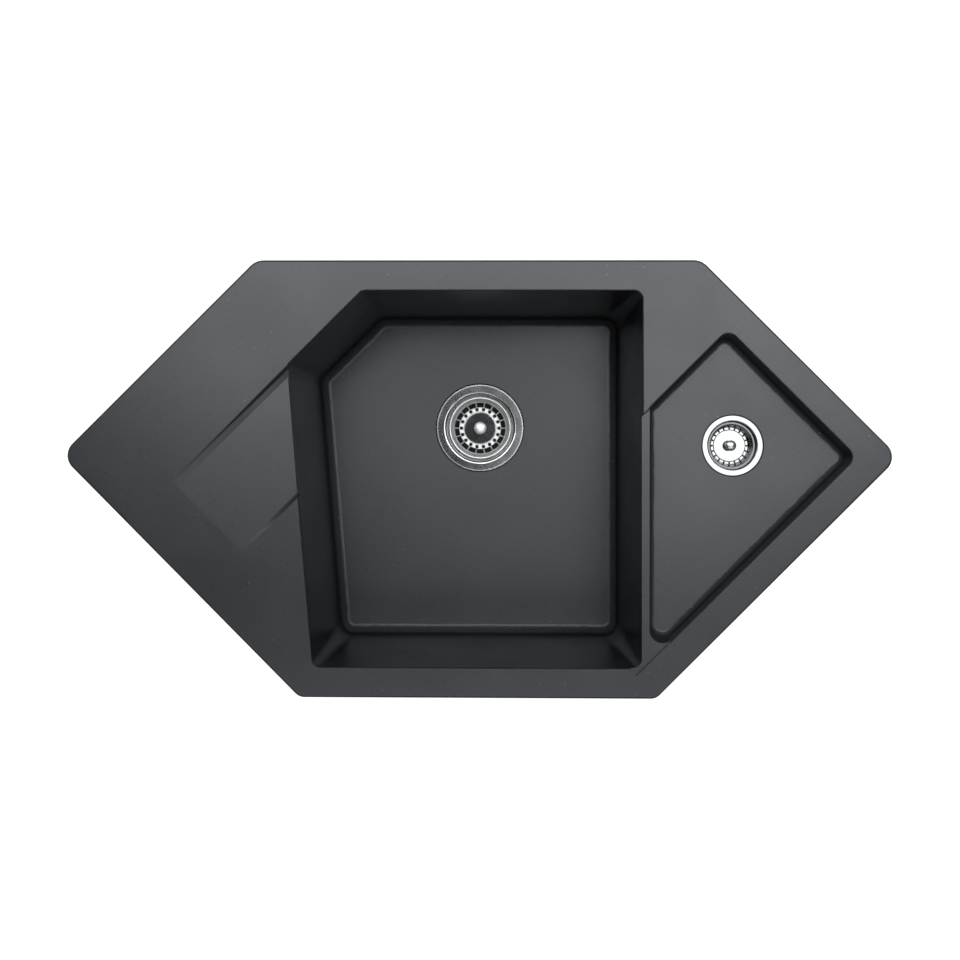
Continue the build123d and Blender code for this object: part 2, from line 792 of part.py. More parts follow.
def basket_seal(
    place, disc_depth, stem_radius, cup_depth, head_height, shoulder, seal_radius
):
    """The rubber bell under the basket that covers the grid when it is pushed down."""
    top = -disc_depth - basket_sheet
    bore = stem_radius + fit_clearance
    hub = stem_radius + seal_hub_wall
    foot = -cup_depth + seat_gap
    return turned(place, [
        (bore, top), (hub, top), (hub, top - shoulder), (seal_radius, foot + seal_lip),
        (seal_radius, foot), (seal_radius - seal_lip, foot), (hub, top - shoulder - seal_sheet),
        (hub, -cup_depth + head_height + stem_lift), (bore, -cup_depth + head_height + stem_lift),
    ])


# ---- the pipework; each nut's place is at the end of its thread, pointing along the pipe

def coupling_nut(place, stack, tube_radius=pipe_radius):
    """A ribbed nut that draws a stack of washer and collar against a thread's end."""
    bore = thread_radius + thread_clearance
    mouth = tube_radius + socket_clearance
    end = stack + nut_lip
    with BuildPart() as nut:
        add(turned(place, [
            (bore, -nut_grip), (nut_radius - nut_chamfer, -nut_grip),
            (nut_radius, nut_chamfer - nut_grip), (nut_radius, end - nut_chamfer),
            (nut_radius - nut_chamfer, end), (mouth, end), (mouth, stack), (bore, stack),
        ]).part)
        with BuildSketch(place.offset(nut_chamfer - nut_grip)):
            with PolarLocations(nut_radius, nut_rib_count):
                Rectangle(nut_rib * 2, nut_rib_width)
        extrude(amount=nut_grip + end - nut_chamfer * 2)
    return nut


def cone_washer(place):
    """A tapered rubber ring round the pipe at a socket's mouth."""
    inner = pipe_radius + fit_clearance
    return turned(place, [
        (inner, 0), (collar_radius, 0), (collar_radius - cone_slope, cone_washer_height),
        (inner, cone_washer_height),
    ])


def joint_ring(place):
    """A flat rubber ring between a thread's end and a pipe's collar."""
    return ring(place, outlet_bore, collar_radius, 0, joint_washer)


def waste_tee():
    """The tee under the main waste: collared top, side socket and threaded outlet."""
    top = main_outlet.offset(joint_washer)
    top_z = top.origin.Z
    foot_z = cross_plane.origin.Z - tee_foot
    side = Plane(origin=cross_plane.origin, z_dir=cross_plane.x_dir)
    with BuildPart() as tee:
        with BuildSketch(top):
            Circle(pipe_radius + fitting_wall)
        extrude(amount=top_z - foot_z)
        with BuildSketch(top):
            Circle(collar_radius)
        extrude(amount=collar_height)
        with BuildSketch(top.offset(top_z - foot_z)):
            Circle(thread_radius)
        extrude(amount=outlet_length)
        with BuildSketch(side):
            Circle(pipe_radius + fitting_wall)
        extrude(amount=tee_reach - outlet_length)
        with BuildSketch(side.offset(tee_reach - outlet_length)):
            Circle(thread_radius)
        extrude(amount=outlet_length)
        with BuildSketch(top):
            Circle(pipe_radius - pipe_wall)
        extrude(amount=top_z - foot_z + outlet_length, mode=Mode.SUBTRACT)
        with BuildSketch(side):
            Circle(pipe_radius - pipe_wall)
        extrude(amount=tee_reach, mode=Mode.SUBTRACT)
        with BuildSketch(side.offset(tee_reach)):
            Circle(pipe_radius + socket_clearance)
        extrude(amount=-socket_length, mode=Mode.SUBTRACT)
    return tee


def pipe_elbow():
    """The bend under the prep waste, with a threaded socket at each end."""
    with BuildPart() as elbow:
        with BuildLine(cross_plane) as route:
            FilletPolyline(
                (elbow_mouth, 0), (span, 0), (span, bend_radius + elbow_leg), radius=bend_radius
            )
        start = Plane(origin=route.line @ 0, z_dir=route.line % 0)
        end = Plane(origin=route.line @ 1, z_dir=route.line % 1)
        with BuildSketch(start):
            Circle(pipe_radius + fitting_wall)
        sweep(path=route.line)
        for mouth in (start, end.offset(-outlet_length)):
            with BuildSketch(mouth):
                Circle(thread_radius)
            extrude(amount=outlet_length)
        with BuildSketch(start):
            Circle(pipe_radius - pipe_wall)
        sweep(path=route.line, mode=Mode.SUBTRACT)
        for mouth in (start, end.offset(-socket_length)):
            with BuildSketch(mouth):
                Circle(pipe_radius + socket_clearance)
            extrude(amount=socket_length, mode=Mode.SUBTRACT)
    return elbow


def pipe(place, length, collar):
    """A plain waste pipe, with a collar at its start where it hangs from a nut."""
    with BuildPart() as tube:
        with BuildSketch(place):
            Circle(pipe_radius)
        extrude(amount=length)
        if collar:
            with BuildSketch(place):
                Circle(collar_radius)
            extrude(amount=collar_height)
        with BuildSketch(place):
            Circle(pipe_radius - pipe_wall)
        extrude(amount=length, mode=Mode.SUBTRACT)
    return tube


def both(first, second):
    """Two like pieces that share a node."""
    with BuildPart() as pair:
        add(first.part)
        add(second.part)
    return pair


save(sink_body(), "sink_body")
save(rim_seal(), "rim_seal")
for number, frame in enumerate(clamps, 1):
    save(clamp_arm(frame), f"clamp_arm_{number}")
save(clamp_screws(), "clamp_screws")
save(clamp_plugs(), "clamp_plugs")

main_wall = main_mouth_radius - main_ledge_width
save(strainer_cup(
    main_top, main_flange_radius, main_mouth_radius, main_mouth_bend, main_ledge_depth,
    main_ledge_width, main_cup_depth, main_cup_taper, main_cup_bend, main_grid_outer,
    main_grid_inner, main_bolt_radius,
), "main_strainer_cup")
save(flange_gasket(
    main_top, main_flange_radius, main_mouth_radius, main_mouth_bend
), "main_flange_gasket")
save(body_seal(main_top, main_hole_radius, main_body_flange), "main_body_gasket")
save(waste_body(
    main_top, main_body_flange, main_wall, main_cup_depth, main_cone_height, main_bolt_radius
), "main_waste_body")
save(bolt_insert(main_top, main_cup_depth, main_bolt_radius), "main_insert")
save(clamp_bolt(
    main_top, main_cup_depth, main_bolt_radius, main_bolt_head, main_head_height
), "main_clamp_bolt")
save(main_basket(), "main_basket")
save(basket_stem(
    main_top, main_knob_top, main_stem_radius, main_cup_depth, main_head_height
), "main_basket_stem")
save(basket_knob(
    main_top, main_knob_radius, main_knob_top, main_disc_depth, main_stem_radius
), "main_basket_knob")
save(basket_seal(
    main_top, main_disc_depth, main_stem_radius, main_cup_depth, main_head_height,
    main_seal_shoulder, main_seal_radius,
), "main_basket_seal")

prep_wall = prep_mouth_radius - prep_ledge_width
save(strainer_cup(
    prep_top, prep_flange_radius, prep_mouth_radius, prep_mouth_bend, prep_ledge_depth,
    prep_ledge_width, prep_cup_depth, prep_cup_taper, prep_cup_bend, prep_grid_outer,
    prep_grid_inner, prep_bolt_radius,
), "prep_strainer_cup")
save(flange_gasket(
    prep_top, prep_flange_radius, prep_mouth_radius, prep_mouth_bend
), "prep_flange_gasket")
save(body_seal(prep_top, prep_hole_radius, prep_body_flange), "prep_body_gasket")
save(waste_body(
    prep_top, prep_body_flange, prep_wall, prep_cup_depth, prep_cone_height, prep_bolt_radius
), "prep_waste_body")
save(bolt_insert(prep_top, prep_cup_depth, prep_bolt_radius), "prep_insert")
save(clamp_bolt(
    prep_top, prep_cup_depth, prep_bolt_radius, prep_bolt_head, prep_head_height
), "prep_clamp_bolt")
save(basket(
    prep_top, prep_mouth_radius, prep_ledge_width, prep_ledge_depth, prep_basket_foot,
    prep_disc_radius, prep_disc_depth, prep_disc_rise, prep_disc_slope,
    prep_stem_radius, prep_hole_circle, prep_small_hole, prep_hole_count,
), "prep_basket")
save(basket_stem(
    prep_top, prep_knob_top, prep_stem_radius, prep_cup_depth, prep_head_height
), "prep_basket_stem")
save(basket_knob(
    prep_top, prep_knob_radius, prep_knob_top, prep_disc_depth, prep_stem_radius
), "prep_basket_knob")
save(basket_seal(
    prep_top, prep_disc_depth, prep_stem_radius, prep_cup_depth, prep_head_height,
    prep_seal_shoulder, prep_seal_radius,
), "prep_basket_seal")

tee_mouth = Plane(origin=cross_plane.origin + cross_plane.x_dir * tee_reach, z_dir=cross_plane.x_dir)
elbow_side = Plane(
    origin=cross_plane.origin + cross_plane.x_dir * elbow_mouth, z_dir=-cross_plane.x_dir
)
elbow_top = Plane(origin=(*prep_waste, cross_plane.origin.Z + bend_radius + elbow_leg))
pipe_start = tee_mouth.offset(-insertion)
save(joint_ring(main_outlet), "main_outlet_washer")
save(coupling_nut(
    main_outlet, joint_washer + collar_height, pipe_radius + fitting_wall
), "main_outlet_nut")
save(waste_tee(), "waste_tee")
save(cone_washer(tee_mouth), "tee_washer")
save(coupling_nut(tee_mouth, cone_washer_height), "tee_nut")
save(pipe(pipe_start, elbow_mouth - tee_reach + insertion * 2, False), "cross_pipe")
save(both(cone_washer(elbow_side), cone_washer(elbow_top)), "elbow_washers")
save(both(
    coupling_nut(elbow_side, cone_washer_height), coupling_nut(elbow_top, cone_washer_height)
), "elbow_nuts")
save(pipe_elbow(), "pipe_elbow")
drop_start = prep_outlet.offset(joint_washer)
drop_length = drop_start.origin.Z - elbow_top.origin.Z + insertion
save(pipe(drop_start, drop_length, True), "prep_drop_pipe")
save(joint_ring(prep_outlet), "prep_outlet_washer")
save(coupling_nut(prep_outlet, joint_washer + collar_height), "prep_outlet_nut")
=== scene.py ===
"""Looks of the corner kitchen sink: granite composite, polished wastes, clamps and pipework.

Everything is in metres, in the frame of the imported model: origin in the middle of the
outline on the worktop's surface, +X to the rinsing tray, +Y to the back, +Z up. The CAD
pieces keep their shapes and places and only get finishes here. What stands round them is
the studio: a white floor, an overhead softbox, the world's light and the camera.
"""
import math

import bpy
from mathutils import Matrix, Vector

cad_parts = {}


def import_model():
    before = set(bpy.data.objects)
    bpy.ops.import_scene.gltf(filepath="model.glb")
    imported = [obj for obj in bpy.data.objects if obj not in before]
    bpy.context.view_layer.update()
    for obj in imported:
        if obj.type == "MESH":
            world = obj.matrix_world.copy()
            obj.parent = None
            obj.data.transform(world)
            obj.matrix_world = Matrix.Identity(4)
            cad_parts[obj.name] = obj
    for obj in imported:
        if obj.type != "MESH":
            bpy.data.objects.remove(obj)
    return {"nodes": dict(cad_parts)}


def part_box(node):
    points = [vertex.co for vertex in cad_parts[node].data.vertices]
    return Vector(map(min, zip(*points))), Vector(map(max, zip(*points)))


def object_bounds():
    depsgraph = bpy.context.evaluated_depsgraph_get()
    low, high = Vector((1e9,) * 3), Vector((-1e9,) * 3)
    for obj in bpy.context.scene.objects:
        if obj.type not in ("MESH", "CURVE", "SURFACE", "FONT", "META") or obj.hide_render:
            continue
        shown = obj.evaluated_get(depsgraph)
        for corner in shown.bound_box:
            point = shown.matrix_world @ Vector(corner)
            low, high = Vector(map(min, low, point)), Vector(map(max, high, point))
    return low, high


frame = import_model()
bpy.ops.object.select_all(action="DESELECT")
cad_box = [list(corner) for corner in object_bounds()]
nodes = frame["nodes"]

LOWEST = cad_box[0][2]       # the end of the tee's outlet
DECK_TOP = cad_box[1][2]


def middle_of(name):
    """The middle of a CAD node's box, seen from above."""
    low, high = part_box(name)
    return ((low.x + high.x) / 2, (low.y + high.y) / 2)


MAIN = middle_of("main_strainer_cup")
PREP = middle_of("prep_strainer_cup")

# ---- granite composite: tones, and which faces have them

RESIN_TONES = ((0.0215, 0.0215, 0.0255), (0.0265, 0.0265, 0.0305))
RESIN_LEVELS = (0.3, 0.7)    # of the clouded value, where each resin tone is reached
MOTTLE_SHARE = 0.55          # of the fine mottling against the broad clouds
# painted shade: the darker tone given to the upright walls
PAINTED_WALL_SHADE = (0.006, 0.006, 0.008)
# painted shade: the black of the sharp inner edges and of the stone round the flanges
PAINTED_EDGE_SHADE = (0.001, 0.001, 0.0012)
FINE_GRAIN_TONE = (0.12, 0.122, 0.13)
DARK_GRAIN_TONE = (0.004, 0.004, 0.005)
PALE_GRAIN_TONE = (0.11, 0.115, 0.115)
FINE_GRAIN_STRENGTH = 0.10
DARK_GRAIN_STRENGTH = 0.6
PALE_GRAIN_STRENGTH = 0.55
DARK_GRAIN_SHIFT = (0.37, 0.11, 0.53)   # gives the dark grains places of their own
GRANITE_IOR = 1.55
FILM_ROUGHNESS = (0.31, 0.37)           # of level faces, clean and marked
SLOPE_ROUGHNESS = 0.85
# roughness where the inner edges are painted as shade
EDGE_SHADE_ROUGHNESS = 1.0
# The Z of a face's normal tells a wall (0) from a level face (1). An edge of a band is
# written as (place, softness).
LEVEL_FACES = (0.88, 0.99)
SLOPES = ((0.5, 0.15), (0.97, 0.02))

# ---- granite composite: shaded inner edges of the deck
# Each line starts at a point and runs along a heading, in degrees. Its reach lies along
# it, its band across it (towards its left is positive), and its darkness is given for its
# start and its end.

BOWL_CORNER = (-0.2179, 0.1292)         # where the drainer's steep side begins
DRAINER_HEADING = -135
DRAINER_SIDE = dict(
    start=BOWL_CORNER, heading=DRAINER_HEADING,
    reach=(0.0, 0.180), band=(-0.0004, 0.0032), darkness=(1.0, 0.25),
)
FRONT_CREASE = dict(
    start=BOWL_CORNER, heading=DRAINER_HEADING,
    reach=(0.089, 0.140), band=(0.1134, 0.1150), darkness=(1.0, 0.0),
)
LAND_STEP = dict(
    start=(0.1866, 0.0718), heading=41,
    reach=(-0.002, 0.0175), band=(-0.0008, 0.0008), darkness=(0.9, 0.9),
)
REACH_SOFTNESS = (0.001, 0.004)         # at the start and at the end of a line
BAND_SOFTNESS = (0.0005, 0.0008)
DECK_HEIGHTS = (-0.001, 0.002)          # a line fades out between these, down the walls

FLANGE_SHADES = ((MAIN, 0.057, 0.0016), (PREP, 0.035, 0.001))   # middle, radius, width
SHADE_UNDERLAP = 0.0008                 # how far a shade begins under the flange
SHADE_SOFTNESS = (0.0003, 0.0004)

# ---- pressed steel
# Polish and painted light in rings from the middle outwards, each as (inner radius, roughness,
# reflectance)

# The reflectance of one steel differs from ring to ring as painted light: higher for painted
# highlights, lower for painted shade.
MAIN_FLANGE_RINGS = (
    (0.0, 0.135, 0.45),                 # cup and flange
    (0.0555, 0.2, 0.6),                 # the flange's outer edge, a painted highlight
)
MAIN_BASKET_RINGS = (
    (0.0, 0.11, 0.5),                   # raised mirror disc
    (0.0211, 0.42, 0.64),               # trough with the small holes, a painted highlight
    (0.027, 0.3, 0.8),                  # cone between the windows, a painted highlight
    (0.0335, 0.42, 0.95),               # cone just outside the windows, a painted highlight
    (0.0353, 0.3, 0.6),                 # upper end of the cone
    (0.0387, 0.4, 0.75),                # inner part of the flat rim, a painted highlight
    (0.0404, 0.15, 0.5),                # outer part of the flat rim
)
# the knob's high reflectance is a painted highlight
MAIN_KNOB_RINGS = ((0.0, 0.5, 0.95),)
PREP_WASTE_RINGS = (
    (0.0, 0.1, 0.33),                   # the basket's disc and trough
    (0.0213, 0.2, 0.13),                # its cone and rim, painted shade
    (0.0278, 0.12, 0.33),               # the cup's mouth and the flange
    (0.0345, 0.3, 0.05),                # the flange's outer edge, painted shade
)
PREP_KNOB_RINGS = ((0.0, 0.28, 0.6),)
RING_SOFTNESS = 0.0002
STEEL_WARMTH = 0.985                    # blue against red and green

# Painted shade round the small holes, which look black: circle's radius, count, each shade's own
# radius. In the large basket they lie 1 mm outside the circle of the holes themselves.
MAIN_HOLE_SHADE = (0.0250, 18, 0.0024)
PREP_HOLE_SHADE = (0.0203, 20, 0.0012)
HOLE_SHADE_SOFTNESS = 0.0002
PAINTED_HOLE_SHADE = (0.02, 0.02, 0.02)

HANDLED_TONE = (0.86, 0.86, 0.86)       # what soft marks leave of the steel's brightness
HANDLED_SHARE = 0.5
HANDLED_ROUGHNESS = 0.03                # added where the marks are fullest

# ---- the studio

FLOOR_DROP = 0.001           # the floor lies this far under the tee's outlet
FLOOR_RADIUS = 9.0
FLOOR_CORNERS = 96
FLOOR_WHITE = (0.86, 0.86, 0.86)        # of the floor's card as it lights the sink
FLOOR_SEEN = (0.3, 0.3, 0.3)            # of the card in the camera's eye, under the glow
FLOOR_GLOW = 1.0             # the floor's own white for the camera and for bright metal

SOFTBOX_HEIGHT = 1.75
SOFTBOX_SIZE = (3.8, 3.2)
SOFTBOX_MIDDLE_Y = 0.15
SOFTBOX_TINT = (0.95, 1.0, 1.03)
CLOTH_LEVEL = 3.45           # of the large back cloth
CLOTH_TIP = (0.28, -0.21)    # the cloth's rounded front edge reaches furthest here
CLOTH_CURVE = 0.31           # how fast that edge falls back to both sides
CLOTH_SOFTNESS = 0.1         # of that edge
CAMERA_GAP = (-0.08, 0.13)   # middle of the dark gap in the cloth, above the camera
CAMERA_GAP_RADIUS = 0.29
CAMERA_GAP_SOFTNESS = 0.06
STRIP_LEVEL = 2.1            # of the weaker strip along the front
STRIP_BACK = (-0.79, -0.63)  # Y over which the strip fades out
STRIP_LEFT = (-1.4, -0.4)    # X over which it sets in

WORLD_LEVEL = 0.3
HORIZON = (0.2, (0.55, 0.55, 0.55))     # height of the view and tone
CEILING = (0.6, (0.05, 0.05, 0.05))

CAMERA_HEIGHT = 1.25         # above the deck
CAMERA_PLACE = (0.0195, 0.0271)
CAMERA_TURN = (0.00903, 0.01387, 0.00182)   # radians, under one degree each
LENS = 41.12                 # mm
SENSOR = 36.0                # mm
LENS_SHIFT = (0.0005, -0.0364)
FURTHEST_SEEN = 50.0

# ---- node editor: nodes stand in rows, in the order in which they are made

NODES_IN_ROW = 8
NODE_STEP = (220, -320)

# Numbers of the Mix node's sockets: first input, second input, result
MIX_SOCKETS = {"FLOAT": (2, 3, 0), "RGBA": (6, 7, 2)}


# ---- small helpers for node trees

def feed(tree, value, socket):
    """Fill an input: a socket is linked to it, a number, vector or colour is set in it."""
    if isinstance(value, bpy.types.NodeSocket):
        tree.links.new(value, socket)
    elif socket.type == "RGBA":
        socket.default_value = (*value, 1)
    else:
        socket.default_value = value


def node(tree, kind, **settings):
    """A shader node; a setting is one of its inputs or else one of its own properties."""
    made = tree.nodes.new(kind)
    row, column = divmod(len(tree.nodes) - 1, NODES_IN_ROW)
    made.location = (column * NODE_STEP[0], row * NODE_STEP[1])
    for name, value in settings.items():
        if name in made.inputs:
            feed(tree, value, made.inputs[name])
        else:
            setattr(made, name, value)
    return made


def empty_tree(owner):
    """The node tree of a new material or world, without the nodes it comes with."""
    owner.use_nodes = True
    owner.node_tree.nodes.clear()
    return owner.node_tree


def calculate(tree, operation, *values):
    """The result of a calculation with sockets and plain numbers."""
    made = node(tree, "ShaderNodeMath", operation=operation)
    for value, socket in zip(values, made.inputs):
        feed(tree, value, socket)
    return made.outputs["Value"]


def product(tree, first, second):
    """Two values multiplied."""
    return calculate(tree, "MULTIPLY", first, second)


def measure(tree, operation, *vectors):
    """The length of a vector or the distance of two."""
    made = node(tree, "ShaderNodeVectorMath", operation=operation)
    for vector, socket in zip(vectors, made.inputs):
        feed(tree, vector, socket)
    return made.outputs["Value"]


def combine(tree, operation, first, second):
    """Two vectors added or multiplied."""
    made = node(tree, "ShaderNodeVectorMath", operation=operation)
    feed(tree, first, made.inputs[0])
    feed(tree, second, made.inputs[1])
    return made.outputs["Vector"]


def axes_of(tree, vector):
    """X, Y and Z of a vector."""
    return node(tree, "ShaderNodeSeparateXYZ", Vector=vector).outputs


def mix(tree, data_type, factor, first, second, **settings):
    """The result of a Mix node; factor and both sides are sockets or plain."""
    made = node(tree, "ShaderNodeMix", data_type=data_type, **settings)
    first_input, second_input, result = MIX_SOCKETS[data_type]
    feed(tree, factor, made.inputs[0])
    feed(tree, first, made.inputs[first_input])
    feed(tree, second, made.inputs[second_input])
    return made.outputs[result]


def mix_colours(tree, factor, first, second, blend_type="MIX"):
    """Mix of two colours."""
    return mix(tree, "RGBA", factor, first, second, blend_type=blend_type)


def mix_values(tree, factor, first, second):
    """Mix of two values."""
    return mix(tree, "FLOAT", factor, first, second)


def smooth_step(tree, value, low, high, to_low=0.0, to_high=1.0):
    """A soft step as a value goes from one level to another."""
    levels = {"From Min": low, "From Max": high, "To Min": to_low, "To Max": to_high}
    step = node(tree, "ShaderNodeMapRange", interpolation_type="SMOOTHSTEP", Value=value, **levels)
    return step.outputs["Result"]


def spread(tree, mask, low, high):
    """A value that runs evenly from low to high with a mask."""
    levels = {"To Min": low, "To Max": high}
    return node(tree, "ShaderNodeMapRange", Value=mask, **levels).outputs["Result"]


def between(tree, value, low_edge, high_edge):
    """Mask of a band of a value; each edge is (place, softness)."""
    low, low_softness = low_edge
    high, high_softness = high_edge
    rising = smooth_step(tree, value, low - low_softness, low + low_softness)
    falling = smooth_step(tree, value, high - high_softness, high + high_softness, 1.0, 0.0)
    return product(tree, rising, falling)


def larger(tree, first, second):
    """The larger of two masks."""
    return calculate(tree, "MAXIMUM", first, second)


def two_tones(tree, value, low_stop, high_stop):
    """A colour ramp between two stops of (position, colour)."""
    made = node(tree, "ShaderNodeValToRGB", Fac=value)
    for element, (position, colour) in zip(made.color_ramp.elements, (low_stop, high_stop)):
        element.position = position
        element.color = (*colour, 1)
    return made.outputs["Color"]


def noise(tree, **settings):
    """A cloudy value."""
    return node(tree, "ShaderNodeTexNoise", **settings).outputs["Fac"]


def from_middle(tree, where, middle):
    """Places counted from an upright line through a point of the plan."""
    moved = node(tree, "ShaderNodeMapping", Vector=where, Location=(-middle[0], -middle[1], 0))
    return moved.outputs["Vector"]


def level_distance(tree, where, middle):
    """Distance from an upright line through a point of the plan."""
    flat = combine(tree, "MULTIPLY", from_middle(tree, where, middle), (1, 1, 0))
    return measure(tree, "LENGTH", flat)


def add_bump(tree, shader, height, strength, distance):
    """Surface relief from a height."""
    relief = node(tree, "ShaderNodeBump", Strength=strength, Distance=distance, Height=height)
    feed(tree, relief.outputs["Normal"], shader.inputs["Normal"])


# ---- effects that several finishes share

def new_group(name, values, results):
    """A node group that reads a place and some values, and the sockets inside that give them."""
    tree = bpy.data.node_groups.new(name, "ShaderNodeTree")
    sockets = tree.interface
    sockets.new_socket(name="Vector", in_out="INPUT", socket_type="NodeSocketVector")
    for label, value in values.items():
        made = sockets.new_socket(name=label, in_out="INPUT", socket_type="NodeSocketFloat")
        made.default_value = value
    for label in results:
        sockets.new_socket(name=label, in_out="OUTPUT", socket_type="NodeSocketFloat")
    return tree, node(tree, "NodeGroupInput").outputs


def mineral_grain():
    """Grains of one size: a mask of where they lie, and a random value for each.

    Scale is the number of cells to the metre, Share the part of them that holds a grain."""
    tree, given = new_group("mineral_grain", {"Scale": 500.0, "Share": 0.05}, ("Mask", "Random"))
    cells = node(tree, "ShaderNodeTexVoronoi", Vector=given["Vector"], Scale=given["Scale"])
    drawn = node(tree, "ShaderNodeSeparateColor", Color=cells.outputs["Color"]).outputs
    chosen = calculate(tree, "LESS_THAN", drawn["Red"], given["Share"])
    rim, heart = 0.5, 0.25
    body = smooth_step(tree, cells.outputs["Distance"], rim, heart)
    node(tree, "NodeGroupOutput", Mask=product(tree, chosen, body), Random=drawn["Green"])
    return tree


def soft_marks():
    """Soft uneven marks, such as water film, handling and dust."""
    tree, given = new_group("soft_marks", {"Scale": 8.0, "Low": 0.35, "High": 0.7}, ("Mask",))
    cloud = noise(tree, Vector=given["Vector"], Scale=given["Scale"], Detail=6.0, Roughness=0.6)
    node(tree, "NodeGroupOutput", Mask=smooth_step(tree, cloud, given["Low"], given["High"]))
    return tree


MINERAL_GRAIN = mineral_grain()
SOFT_MARKS = soft_marks()


def place_group(tree, group, where, **values):
    """The results of a shared effect, with a finish's own values."""
    return node(tree, "ShaderNodeGroup", node_tree=group, Vector=where, **values).outputs


# ---- finishes

def new_material(name, **constants):
    """A material with its tree, its shader with plain constants, and object coordinates."""
    made = bpy.data.materials.new(name)
    tree = empty_tree(made)
    shader = node(tree, "ShaderNodeBsdfPrincipled", **constants)
    node(tree, "ShaderNodeOutputMaterial", Surface=shader.outputs["BSDF"])
    return made, tree, shader, node(tree, "ShaderNodeTexCoord").outputs["Object"]


def straight_shade_line(tree, where, start, heading, reach, band, darkness):
    """Mask of painted shade along a straight line on the deck, which darkens or fades along its
    way.
    """
    turned = node(
        tree, "ShaderNodeMapping", vector_type="TEXTURE", Vector=where,
        Location=(*start, 0), Rotation=(0, 0, math.radians(heading)),
    )
    axes = axes_of(tree, turned.outputs["Vector"])
    along = between(tree, axes["X"], *zip(reach, REACH_SOFTNESS))
    across = between(tree, axes["Y"], *zip(band, BAND_SOFTNESS))
    fading = smooth_step(tree, axes["X"], *reach, *darkness)
    line = product(tree, product(tree, along, across), fading)
    return product(tree, line, smooth_step(tree, axes["Z"], *DECK_HEIGHTS))


def painted_edge_shades(tree, where):
    """Mask of painted shade on the sharp inner edges that no light reaches: along the drainer's
    steep side, where its front crease leaves the bowl, at the land's step, and in the stone right
    round each pressed flange."""
    edge_shade_masks = [straight_shade_line(tree, where, **line) for line in (DRAINER_SIDE, FRONT_CREASE, LAND_STEP)]
    for middle, radius, width in FLANGE_SHADES:
        edges = zip((radius - SHADE_UNDERLAP, radius + width), SHADE_SOFTNESS)
        edge_shade_masks.append(between(tree, level_distance(tree, where, middle), *edges))
    darkest, *others = edge_shade_masks
    for shade_mask in others:
        darkest = larger(tree, darkest, shade_mask)
    return darkest


def resin(tree, where):
    """The dark resin of level faces, in broad clouds with a fine mottling."""
    clouds = noise(tree, Vector=where, Scale=14.0, Detail=5.0, Roughness=0.6)
    mottle = noise(tree, Vector=where, Scale=160.0, Detail=3.0, Roughness=0.7)
    blended = mix_values(tree, MOTTLE_SHARE, clouds, mottle)
    return two_tones(tree, blended, *zip(RESIN_LEVELS, RESIN_TONES))


def add_grains(tree, where, colour):
    """A colour with fine, dark and pale grains in it, the pale ones each as bright as drawn."""
    shifted = combine(tree, "ADD", where, DARK_GRAIN_SHIFT)
    fine = place_group(tree, MINERAL_GRAIN, where, Scale=900.0, Share=0.16)
    dark = place_group(tree, MINERAL_GRAIN, shifted, Scale=300.0, Share=0.035)
    pale = place_group(tree, MINERAL_GRAIN, where, Scale=360.0, Share=0.012)
    fine_mask = product(tree, fine["Mask"], FINE_GRAIN_STRENGTH)
    dark_mask = product(tree, dark["Mask"], DARK_GRAIN_STRENGTH)
    pale_mask = product(tree, pale["Mask"], product(tree, pale["Random"], PALE_GRAIN_STRENGTH))
    colour = mix_colours(tree, fine_mask, colour, FINE_GRAIN_TONE)
    colour = mix_colours(tree, dark_mask, colour, DARK_GRAIN_TONE)
    return mix_colours(tree, pale_mask, colour, PALE_GRAIN_TONE)


def granite():
    """Dark granite composite: quartz in black resin, with pale and dark grains.

    Upright walls are painted darker than level faces as shade, and level faces carry a thin film.
    Slopes are duller than both, and the sharp inner edges are painted black as shade."""
    made, tree, shader, where = new_material("granite_composite", IOR=GRANITE_IOR)
    upward = axes_of(tree, node(tree, "ShaderNodeNewGeometry").outputs["Normal"])["Z"]
    edge_shade = painted_edge_shades(tree, where)
    on_level = smooth_step(tree, upward, *LEVEL_FACES)
    # upright walls get painted shade, level faces the resin
    colour = mix_colours(tree, on_level, PAINTED_WALL_SHADE, resin(tree, where))
    # painted black shade on the sharp inner edges and round the flanges
    colour = mix_colours(tree, edge_shade, add_grains(tree, where, colour), PAINTED_EDGE_SHADE)
    feed(tree, colour, shader.inputs["Base Color"])
    marks = place_group(tree, SOFT_MARKS, where, Scale=9.0, Low=0.3, High=0.75)["Mask"]
    gloss = smooth_step(tree, marks, 0.0, 1.0, *FILM_ROUGHNESS)
    gloss = mix_values(tree, between(tree, upward, *SLOPES), gloss, SLOPE_ROUGHNESS)
    gloss = mix_values(tree, edge_shade, gloss, EDGE_SHADE_ROUGHNESS)
    feed(tree, gloss, shader.inputs["Roughness"])
    texture = noise(tree, Vector=where, Scale=1400.0, Detail=3.0, Roughness=0.55)
    add_bump(tree, shader, texture, 0.25, 0.0002)
    return made


def painted_hole_shade_mask(tree, where, middle, circle, count, radius):
    """Mask of painted shade round a circle of drain holes."""
    axes = axes_of(tree, from_middle(tree, where, middle))
    angle = calculate(tree, "ARCTAN2", axes["Y"], axes["X"])
    half_step = math.tau / count / 2
    aside = calculate(tree, "PINGPONG", angle, half_step)
    offset = node(
        tree, "ShaderNodeCombineXYZ",
        X=product(tree, aside, circle), Y=level_distance(tree, where, middle),
    )
    distance = measure(tree, "DISTANCE", offset.outputs["Vector"], (0, circle, 0))
    inside, outside = radius - HOLE_SHADE_SOFTNESS, radius + HOLE_SHADE_SOFTNESS
    return smooth_step(tree, distance, inside, outside, 1.0, 0.0)


def steel_tone(reflectance):
    """The colour of bare steel, a little warmer than grey."""
    return (reflectance, reflectance, reflectance * STEEL_WARMTH)


